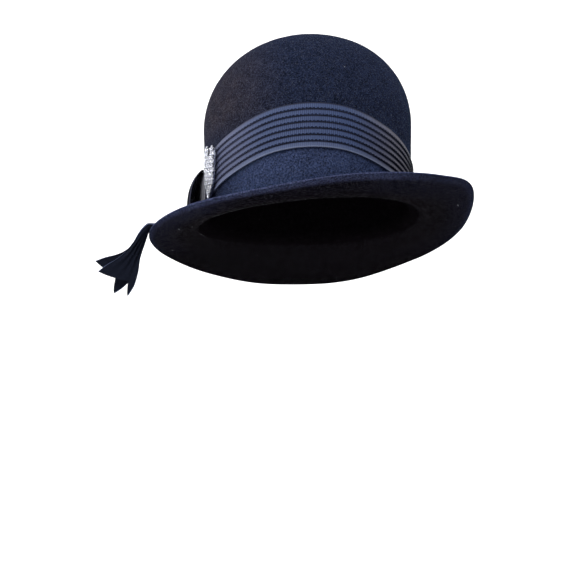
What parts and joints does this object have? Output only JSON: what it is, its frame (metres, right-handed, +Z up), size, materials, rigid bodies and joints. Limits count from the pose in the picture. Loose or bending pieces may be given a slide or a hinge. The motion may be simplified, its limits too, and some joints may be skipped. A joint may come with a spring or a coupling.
{
  "type": "cloche hat",
  "caption": "Felt cloche hat with a deep rounded crown, a tilted brim, a wide tucked ribbon band, a ribbon loop and notched ribbon ends at one side, and a jewelled brooch.",
  "frame": {"origin": "centre of the head opening at the crown's foot, where the hat sits on a head", "axes": "+Z up through the crown, -Y towards the front of the hat, +X towards the wearer's left, so the brooch and the ribbons are at -X"},
  "size_m": [0.3286, 0.2837, 0.2267],
  "materials": {
    "wool_felt": "matt brushed wool felt, near-black navy",
    "band_ribbon": "ribbed ribbon with a dull sheen, blue-grey",
    "loop_ribbon": "ribbed ribbon with a dull sheen, near-black",
    "ribbon_tail_front_ribbon": "ribbed ribbon with a dull sheen, near-black",
    "ribbon_tail_rear_ribbon": "ribbed ribbon with a dull sheen, near-black",
    "brooch_metal": "bright silver-coloured setting with clear cut stones"
  },
  "bodies": {
    "root": {"felt_body": "wool_felt", "tucked_band": "band_ribbon", "ribbon_loop": "loop_ribbon", "ribbon_tail_front": "ribbon_tail_front_ribbon", "ribbon_tail_rear": "ribbon_tail_rear_ribbon", "brooch": "brooch_metal"}
  },
  "joints": []
}
